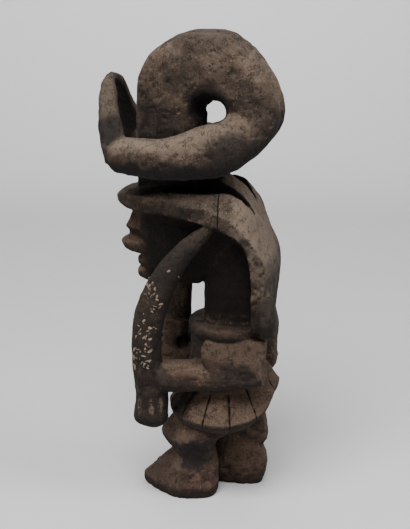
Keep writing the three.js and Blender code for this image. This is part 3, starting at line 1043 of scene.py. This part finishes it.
class Nodes:
    """Adds nodes to a tree and links them by socket name."""

    def __init__(self, tree):
        self.tree = tree
        tree.nodes.clear()

    def add(self, kind, options=None, **inputs):
        """A node with its options set and its inputs joined, _ standing for a space."""
        node = self.tree.nodes.new(kind)
        for name, value in (options or {}).items():
            setattr(node, name, value)
        for name, value in inputs.items():
            self.join(value, node.inputs[name.replace("_", " ")])
        return node

    def join(self, value, socket):
        """Links another node's output to a socket, or sets the socket to a constant."""
        if isinstance(value, bpy.types.NodeSocket):
            self.tree.links.new(value, socket)
        else:
            socket.default_value = value

    def maths(self, operation, a, b=0.0, kind="ShaderNodeMath", output="Value"):
        """Two numbers put through an operation."""
        node = self.add(kind, {"operation": operation})
        self.join(a, node.inputs[0])
        self.join(b, node.inputs[1])
        return node.outputs[output]

    def vectors(self, operation, a, b):
        """Two vectors put through an operation."""
        return self.maths(operation, a, b, "ShaderNodeVectorMath", "Vector")

    def scaled(self, vector, size):
        """The vector made longer or shorter."""
        node = self.add("ShaderNodeVectorMath", {"operation": "SCALE"}, Scale=size)
        self.join(vector, node.inputs[0])
        return node.outputs["Vector"]

    def times(self, first, *others):
        """The product of several numbers."""
        for other in others:
            first = self.maths("MULTIPLY", first, other)
        return first

    def rest_of(self, share):
        """What a share of 1 leaves."""
        return self.maths("SUBTRACT", 1.0, share)

    def noise(self, where, scale, detail=4.0, roughness=0.6):
        """Soft noise from 0 to 1."""
        return self.add("ShaderNodeTexNoise", Vector=where, Scale=scale, Detail=detail,
                        Roughness=roughness).outputs["Fac"]

    def band(self, value, low, high, top=1.0):
        """The value's part between low and high, as 0 to top."""
        node = self.add("ShaderNodeMapRange", {"interpolation_type": "SMOOTHSTEP"}, Value=value,
                        From_Min=low, From_Max=high, To_Max=top)
        return node.outputs["Result"]

    def cracks(self, where, scale, width):
        """Fine broken cracks: the borders of bent cells, kept only in places."""
        shift = self.add("ShaderNodeTexNoise", Vector=where, Scale=scale * 0.8, Detail=3.0)
        bent = self.vectors("ADD", where, self.scaled(shift.outputs["Color"], 1.6 / scale))
        cells = self.add("ShaderNodeTexVoronoi", {"feature": "DISTANCE_TO_EDGE"}, Vector=bent, Scale=scale)
        line = self.rest_of(self.band(cells.outputs["Distance"], width * 0.3, width))
        return self.times(line, self.band(self.noise(where, scale * 0.45, 3.0), 0.5, 0.6))

    def mixed(self, share, under, over):
        """One colour under a share of another."""
        node = self.tree.nodes.new("ShaderNodeMix")
        node.data_type = "RGBA"
        self.join(share, node.inputs["Factor"])
        self.join(under, node.inputs["A"])
        self.join(over, node.inputs["B"])
        return node.outputs["Result"]

    def own_place(self):
        """The place on the object that is being coloured, in metres."""
        return self.add("ShaderNodeTexCoord").outputs["Object"]

    def mask(self, name):
        """One of the masks that paint has set on the mesh."""
        return self.add("ShaderNodeAttribute", {"attribute_name": name}).outputs["Fac"]

    def surface(self, **inputs):
        """Ends a material's tree with its surface."""
        shader = self.add("ShaderNodeBsdfPrincipled", **inputs)
        self.add("ShaderNodeOutputMaterial", Surface=shader.outputs["BSDF"])


def new_material(name):
    """A new material and its empty node tree."""
    material = bpy.data.materials.new(name)
    material.use_nodes = True
    return material, Nodes(material.node_tree)


def line_near(n, distance, half_width):
    """1 within a line of that half width, in millimetres, and 0 beyond it."""
    return n.rest_of(n.band(distance, half_width * 0.5 * MM, half_width * 1.3 * MM))


def seat_lines(n, x, y, waver):
    """The dark bottoms of the radial cuts on the seat."""
    y = n.maths("SUBTRACT", y, (BODY_Y + AXIS_Y) * MM)
    reach = n.maths("SQRT", n.maths("ADD", n.times(x, x), n.times(y, y)))
    step = 2 * math.pi / SEAT_CUTS
    turn = n.maths("SUBTRACT", n.maths("ARCTAN2", y, x), math.radians(FIRST_CUT))
    off = n.maths("PINGPONG", n.maths("ADD", turn, step * SEAT_CUTS), step / 2)
    off = n.maths("ADD", n.times(off, reach), waver)
    return n.times(line_near(n, off, SEAT_LINE), n.mask("seat"))


def drying_crack(n, x, y, z, waver):
    """The crack that runs down the left side of the hood."""
    off = n.maths("ADD", n.maths("SUBTRACT", y, (AXIS_Y + CRACK_Y) * MM), waver)
    return n.times(
        line_near(n, n.maths("ABSOLUTE", off), CRACK_LINE),
        n.band(z, CRACK_LOW * MM, (CRACK_LOW + CRACK_FADE) * MM),
        n.rest_of(n.band(z, (CRACK_HIGH - CRACK_FADE) * MM, CRACK_HIGH * MM)),
        n.band(x, CRACK_X * MM, (CRACK_X + CRACK_FADE) * MM),
    )


def wood_material(wood):
    """Dry carved hardwood under dust, grime, soot, crust, chalk and red pigment, with painted shade in its
    recesses, on its undersides and in some patches, and painted glints.
    """
    material, n = new_material("weathered_wood")
    where = n.own_place()
    x, y, z = n.add("ShaderNodeSeparateXYZ", Vector=where).outputs
    broad = n.noise(where, 30.0, 3.0)
    mottle = n.noise(where, 95.0, 5.0, 0.65)
    speckle = n.noise(where, 330.0, 5.0, 0.75)
    pits = n.noise(where, 640.0, 3.0, 0.7)
    upright = n.add("ShaderNodeMapping", Vector=where, Scale=(1.0, 1.0, 0.08)).outputs["Vector"]
    grain = n.noise(upright, 520.0, 4.0)
    waver = n.times(n.maths("SUBTRACT", n.noise(where, 160.0, 3.0), 0.5), WAVER * MM)
    checks = n.cracks(where, 340.0, 0.1)
    lines = n.maths("MAXIMUM", seat_lines(n, x, y, waver), drying_crack(n, x, y, z, waver))
    flecks = n.times(n.mask("chalk"), n.band(speckle, 0.6, 0.66))
    stripes = n.times(n.mask("stripes"), n.band(speckle, 0.4, 0.6))

    colour = n.mixed(n.band(broad, 0.28, 0.7), tuple(wood.dark), tuple(wood.light))
    # Each colour that lies on the bare wood, painted shade and glints among them, from the lowest up, and
    # how much of it shows
    for over, share in (
        (wood.dark, n.band(mottle, 0.42, 0.68, 0.4)),
        (wood.grain, n.band(grain, 0.52, 0.7, 0.4)),
        (wood.dark, n.band(speckle, 0.46, 0.57, 0.62)),
        (wood.dust, n.times(n.mask("dust"), n.band(speckle, 0.25, 0.7), 0.7)),
        (wood.dust, n.times(n.mask("pale"), 0.55)),
        (wood.pigment, n.times(n.mask("pigment"), n.band(speckle, 0.4, 0.58), 0.8)),
        (wood.warm, n.times(n.mask("warm"), 0.5)),
        # painted glints: pale specks in the dust's colour that stand for highlights
        (wood.dust, n.times(n.band(pits, 0.44, 0.34), n.band(mottle, 0.4, 0.55), 0.8)),
        # grime, and painted shade in some of its patches
        (wood.recess, n.mask("grime_and_shade")),
        # soot, and painted shade in some of its patches
        (wood.soot_and_shade, n.times(n.mask("soot_and_shade"), n.band(mottle, 0.15, 0.45), 0.85)),
        # painted shade on the undersides
        (wood.under, n.times(n.mask("under"), 0.9)),
        (wood.recess, n.times(n.mask("crust"), n.band(mottle, 0.35, 0.5), 0.85)),
        (wood.chalk, n.times(n.mask("crust"), n.band(speckle, 0.6, 0.66), 0.6)),
        # painted shade in the recesses
        (wood.recess, n.times(n.mask("recess"), 0.94)),
        (wood.chalk, n.times(n.maths("MAXIMUM", flecks, stripes), 0.6)),
        (wood.grain, n.band(pits, 0.56, 0.72, 0.75)),
        (wood.grain, n.times(checks, 0.5)),
        (wood.recess, lines),
    ):
        colour = n.mixed(share, colour, tuple(over))

    height = n.times(pits, -0.7)
    cuts = n.maths("MAXIMUM", lines, checks)
    for relief, share in ((grain, -0.5), (speckle, 0.9), (mottle, 1.2), (cuts, -1.0)):
        height = n.maths("ADD", height, n.times(relief, share))
    bump = n.add("ShaderNodeBump", Height=height, Strength=1.0, Distance=RELIEF * MM)
    n.surface(Base_Color=colour, Roughness=n.maths("ADD", n.band(mottle, 0.2, 0.8, 0.15), 0.78),
              Normal=bump.outputs["Normal"], Specular_IOR_Level=wood.gloss)
    return material


def chalk_material(wood):
    """Dusty cream flakes, browner in places."""
    material, n = new_material("chalk_flake")
    tone = n.band(n.noise(n.own_place(), 420.0, 3.0), 0.4, 0.6)
    n.surface(Base_Color=n.mixed(tone, tuple(wood.dust), tuple(wood.chalk)), Roughness=0.9)
    return material


def flake_group():
    """Geometry nodes that scatter small uneven chips over the chalky part of a surface."""
    group = bpy.data.node_groups.new("chalk flakes", "GeometryNodeTree")
    group.interface.new_socket("Surface", in_out="INPUT", socket_type="NodeSocketGeometry")
    for name, kind in (("Density", "Float"), ("Size", "Float"), ("Seed", "Int"), ("Material", "Material")):
        group.interface.new_socket(name, in_out="INPUT", socket_type="NodeSocket" + kind)
    group.interface.new_socket("Flakes", in_out="OUTPUT", socket_type="NodeSocketGeometry")
    n = Nodes(group)
    given = n.add("NodeGroupInput").outputs
    chalk = n.add("GeometryNodeInputNamedAttribute", {"data_type": "FLOAT"}, Name="chalk")
    where = n.add("GeometryNodeInputPosition").outputs["Position"]
    clump = n.maths("ADD", n.band(n.noise(where, 130.0, 2.0), 0.46, 0.6), 0.08)
    amount = n.times(given["Density"], n.maths("POWER", chalk.outputs["Attribute"], 2.0), clump)
    spread = n.add("GeometryNodeDistributePointsOnFaces", {"distribute_method": "RANDOM"},
                   Mesh=given["Surface"], Density=amount, Seed=given["Seed"]).outputs
    chip = n.add("GeometryNodeMeshCylinder", Vertices=7, Radius=1.0, Depth=0.45)
    stretch = n.add("FunctionNodeRandomValue", {"data_type": "FLOAT_VECTOR"}, Seed=given["Seed"],
                    Min=(0.3, 0.2, 0.7), Max=(2.1, 0.8, 1.1))
    turn = n.add("FunctionNodeRandomValue", {"data_type": "FLOAT_VECTOR"}, Seed=given["Seed"],
                 Max=(0.0, 0.0, math.tau))
    spun = n.add("FunctionNodeRotateRotation", {"rotation_space": "LOCAL"},
                 Rotation=spread["Rotation"], Rotate_By=turn.outputs["Value"])
    placed = n.add("GeometryNodeInstanceOnPoints", Points=spread["Points"], Instance=chip.outputs["Mesh"],
                   Rotation=spun.outputs["Rotation"],
                   Scale=n.scaled(stretch.outputs["Value"], given["Size"]))
    real = n.add("GeometryNodeRealizeInstances", Geometry=placed.outputs["Instances"])
    ragged = n.add("ShaderNodeTexNoise", Scale=520.0, Detail=1.0)
    push = n.vectors("SUBTRACT", ragged.outputs["Color"], (0.5, 0.5, 0.5))
    moved = n.add("GeometryNodeSetPosition", Geometry=real.outputs["Geometry"],
                  Offset=n.scaled(push, FLAKE_RAG * MM)).outputs["Geometry"]
    dressed = n.add("GeometryNodeSetMaterial", Geometry=moved, Material=given["Material"])
    n.add("NodeGroupOutput", Flakes=dressed.outputs["Geometry"])
    return group


def chalk_flakes(carving, settings, material):
    """Cream flakes that still cling to the tusk, as one plain mesh."""
    obj = object_of("chalk_flakes", carving.data.copy())
    modifier = obj.modifiers.new("flakes", "NODES")
    modifier.node_group = flake_group()
    values = {"Density": settings.flakes * PER_CM2, "Size": settings.flake_size * MM,
              "Seed": settings.seed, "Material": material}
    for socket in modifier.node_group.interface.items_tree:
        if socket.name in values:
            modifier[socket.identifier] = values[socket.name]
    obj.update_tag()
    return applied(obj)


# Settings


def tint(name, description, default):
    """A colour that the user can change, as red, green and blue from 0 to 1."""
    return FloatVectorProperty(name=name, description=description, default=(*default, 1.0),
                               size=4, min=0, max=1, subtype="COLOR")


def number(name, description, default, low, high, subtype="NONE"):
    """A number that the user can change, whole or not as its default is."""
    kind = IntProperty if isinstance(default, int) else FloatProperty
    return kind(name=name, description=description, default=default, min=low, max=high, subtype=subtype)


def watts(name, description, default):
    """A light's power."""
    return number(name, description, float(default), 0, 1000, "POWER")


class CarvingSettings(bpy.types.PropertyGroup):
    """Sizes and amounts of the carving's own surface"""

    skin_step: number("Skin step", "Size of the skin's cells in millimetres", 1.15, 0.8, 4)
    wear_passes: number("Worn edges", "How often the edges are worn down", 1, 0, 20)
    triangles: number("Triangles", "Most triangles on the carving", 192000, 20000, 199000)
    rays: number("Rays", "Rays that look for recesses from each point", 12, 4, 64)
    flakes: number("Flakes", "Chalk flakes on each square centimetre of the tusk", 9.0, 0, 40)
    flake_size: number("Flake size", "Half the size of a chalk flake in millimetres", 1.35, 0.2, 6)
    seed: number("Seed", "Seed of the hand's unevenness", 3, 0, 999)


class WoodSettings(bpy.types.PropertyGroup):
    """Colours and gloss of the wood and what lies on it"""

    light: tint("Light wood", "Bare wood where it is lightest", (0.165, 0.11, 0.075))
    dark: tint("Dark wood", "Bare wood where it is darkest", (0.06, 0.041, 0.03))
    grain: tint("Grain", "Lines of the grain and pits", (0.025, 0.017, 0.013))
    warm: tint("Handled wood", "Redder wood on the body and the seat", (0.12, 0.07, 0.046))
    # Dust is also the colour of the painted glints.
    dust: tint("Dust", "Pale dust on faces that look up", (0.235, 0.182, 0.138))
    # The recess colour is painted shade in the recesses; it also colours grime, crust and the dark lines
    # of cuts and cracks.
    recess: tint("Recess", "Old grime in the recesses", (0.006, 0.004, 0.0035))
    # Soot is also painted shade where some of its patches lie.
    soot_and_shade: tint("Soot", "Smoky black patches", (0.022, 0.019, 0.018))
    # The undersides' colour is painted shade on faces that look down.
    under: tint("Undersides", "Grime on faces that look down", (0.012, 0.0095, 0.0085))
    chalk: tint("Chalk", "Flakes of cream chalk", (0.28, 0.205, 0.135))
    pigment: tint("Pigment", "Traces of rose-red pigment", (0.26, 0.12, 0.1))
    gloss: number("Gloss", "Strength of the wood's highlights", 0.22, 0, 1, "FACTOR")


class StageSettings(bpy.types.PropertyGroup):
    """Colour of the backdrop and strength of the lights"""

    floor: tint("Floor", "Pale floor and backdrop", (0.8, 0.8, 0.81))
    key_power: watts("Key light", "Power of the large light above", 32)
    fill_power: watts("Fill light", "Power of the weak light beside the camera", 0.8)
    rim_power: watts("Rim light", "Power of the light behind the figure's back", 9)
    wall_power: watts("Wall light", "Power of the light that washes the backdrop", 40)
    sky_strength: number("Room light", "Strength of the light from all round", 0.12, 0, 10)


# Operators


def belongs(piece):
    """Says what a piece rides on."""
    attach(piece, "root")


class FIGURE_OT_carving(bpy.types.Operator):
    """Carve the figure: one skin over its forms, with tool marks, cracks, patina and painted shade"""

    bl_idname = "figure.carving"
    bl_label = "Carve the figure"

    def execute(self, context):
        settings = context.scene.figure_carving
        forms = Forms(carving_forms())
        obj = skin(forms, settings)
        tool_marks(obj, forms, settings)
        thinned(obj, settings.triangles)
        kept_in_box(obj)
        paint(obj.data, forms, settings)
        bpy.data.meshes.remove(forms.mesh)
        obj.data.materials.append(wood_material(context.scene.figure_wood))
        obj.data.shade_smooth()
        belongs(obj)
        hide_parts(NODE)
        return {"FINISHED"}


class FIGURE_OT_chalk(bpy.types.Operator):
    """Scatter flakes of cream chalk over the tusk of the carved figure"""

    bl_idname = "figure.chalk"
    bl_label = "Scatter the chalk"

    def execute(self, context):
        carving = bpy.data.objects.get(CARVING)
        if carving is None:
            raise RuntimeError("The figure has to be carved before its chalk is scattered")
        material = chalk_material(context.scene.figure_wood)
        flakes = chalk_flakes(carving, context.scene.figure_carving, material)
        kept_in_box(flakes)
        belongs(flakes)
        return {"FINISHED"}


def view_direction(azimuth, elevation):
    """The way from the figure to a camera at that azimuth and elevation, in degrees."""
    a, e = math.radians(azimuth), math.radians(elevation)
    return Vector((math.sin(a) * math.cos(e), -math.cos(a) * math.cos(e), math.sin(e)))


def add_light(name, azimuth, elevation, distance, size, power):
    """A round lamp of that width that looks at the figure from a distance, both in metres."""
    light = bpy.data.lights.new(name, "AREA")
    light.shape = "DISK"
    light.size = size
    light.energy = power
    obj = object_of(name, light)
    way = view_direction(azimuth, elevation)
    obj.location = Vector((0, 0, VIEW_HEIGHT)) + way * distance
    obj.rotation_euler = way.to_track_quat("Z", "Y").to_euler()
    return obj


def sweep(stage):
    """A pale floor that curves up into a backdrop behind the figure."""
    front, run, radius, height, half = -3.5, 1.3, 0.5, 2.6, 3.0
    turns = np.linspace(0, math.pi / 2, 25)
    bend = [(run + radius * math.sin(a), radius * (1 - math.cos(a))) for a in turns]
    line = [(front, 0.0), *bend, (run + radius, height)]
    away = -view_direction(VIEW_AZIMUTH, 0)
    side = Vector((away.y, -away.x, 0))
    points = [tuple(away * d + side * w + Vector((0, 0, z))) for d, z in line for w in (-half, half)]
    faces = [(2 * i, 2 * i + 1, 2 * i + 3, 2 * i + 2) for i in range(len(line) - 1)]
    mesh = bpy.data.meshes.new("sweep")
    mesh.from_pydata(points, [], faces)
    mesh.shade_smooth()
    material, n = new_material("pale_paper")
    n.surface(Base_Color=tuple(stage.floor), Roughness=0.9)
    mesh.materials.append(material)
    return object_of("sweep", mesh)


class FIGURE_OT_stage(bpy.types.Operator):
    """Set the pale floor, the soft lights and the photograph's camera"""

    bl_idname = "figure.stage"
    bl_label = "Set the stage"

    def execute(self, context):
        stage = context.scene.figure_stage
        sweep(stage)
        add_light("key_light", VIEW_AZIMUTH - 20, 60, 1.6, 1.0, stage.key_power)
        add_light("fill_light", VIEW_AZIMUTH - 50, 22, 2.0, 1.2, stage.fill_power)
        add_light("rim_light", VIEW_AZIMUTH + 68, 48, 1.5, 0.7, stage.rim_power)
        wash = add_light("wall_light", VIEW_AZIMUTH + 180, 62, 1.5, 1.0, stage.wall_power)
        wash.rotation_euler = view_direction(VIEW_AZIMUTH, -12).to_track_quat("Z", "Y").to_euler()
        world = bpy.data.worlds.new("room")
        world.use_nodes = True
        background = world.node_tree.nodes["Background"]
        background.inputs["Color"].default_value = (1, 1, 1, 1)
        background.inputs["Strength"].default_value = stage.sky_strength
        context.scene.world = world
        lens = bpy.data.cameras.new("camera")
        lens.sensor_width = SENSOR_MM
        lens.lens = FOCAL_PIXELS * SENSOR_MM / IMAGE_HEIGHT
        camera = object_of("camera", lens)
        back = view_direction(VIEW_AZIMUTH, VIEW_ELEVATION)
        right = Vector((0, 0, 1)).cross(back).normalized()
        shift = LEFT_OF_CENTRE_PIXELS * VIEW_DISTANCE / FOCAL_PIXELS
        target = Vector((0, AXIS_Y * MM, VIEW_HEIGHT)) - right * shift
        camera.location = target + back * VIEW_DISTANCE
        camera.rotation_euler = back.to_track_quat("Z", "Y").to_euler()
        context.scene.camera = camera
        return {"FINISHED"}


class FIGURE_PT_panel(bpy.types.Panel):
    """Lists the carving's, the wood's and the stage's settings with their operators"""

    bl_label = "Carved figure"
    bl_idname = "FIGURE_PT_panel"
    bl_space_type = "VIEW_3D"
    bl_region_type = "UI"
    bl_category = "Figure"

    def draw(self, context):
        scene = context.scene
        for settings in (scene.figure_carving, scene.figure_wood, scene.figure_stage):
            box = self.layout.box()
            for name in settings.bl_rna.properties.keys():
                if name not in ("rna_type", "name"):
                    box.prop(settings, name)
        for operator in (FIGURE_OT_carving, FIGURE_OT_chalk, FIGURE_OT_stage):
            self.layout.operator(operator.bl_idname)


CLASSES = (
    CarvingSettings,
    WoodSettings,
    StageSettings,
    FIGURE_OT_carving,
    FIGURE_OT_chalk,
    FIGURE_OT_stage,
    FIGURE_PT_panel,
)


def register():
    """Registers the classes and gives the scene its settings."""
    for cls in CLASSES:
        bpy.utils.register_class(cls)
    bpy.types.Scene.figure_carving = PointerProperty(type=CarvingSettings)
    bpy.types.Scene.figure_wood = PointerProperty(type=WoodSettings)
    bpy.types.Scene.figure_stage = PointerProperty(type=StageSettings)


def unregister():
    """Takes the settings and the classes away again."""
    for name in ("figure_stage", "figure_wood", "figure_carving"):
        delattr(bpy.types.Scene, name)
    for cls in reversed(CLASSES):
        bpy.utils.unregister_class(cls)


def main():
    """Builds the figure and its stage."""
    register()
    bpy.ops.figure.carving()
    bpy.ops.figure.chalk()
    bpy.ops.figure.stage()


if __name__ == "__main__":
    main()
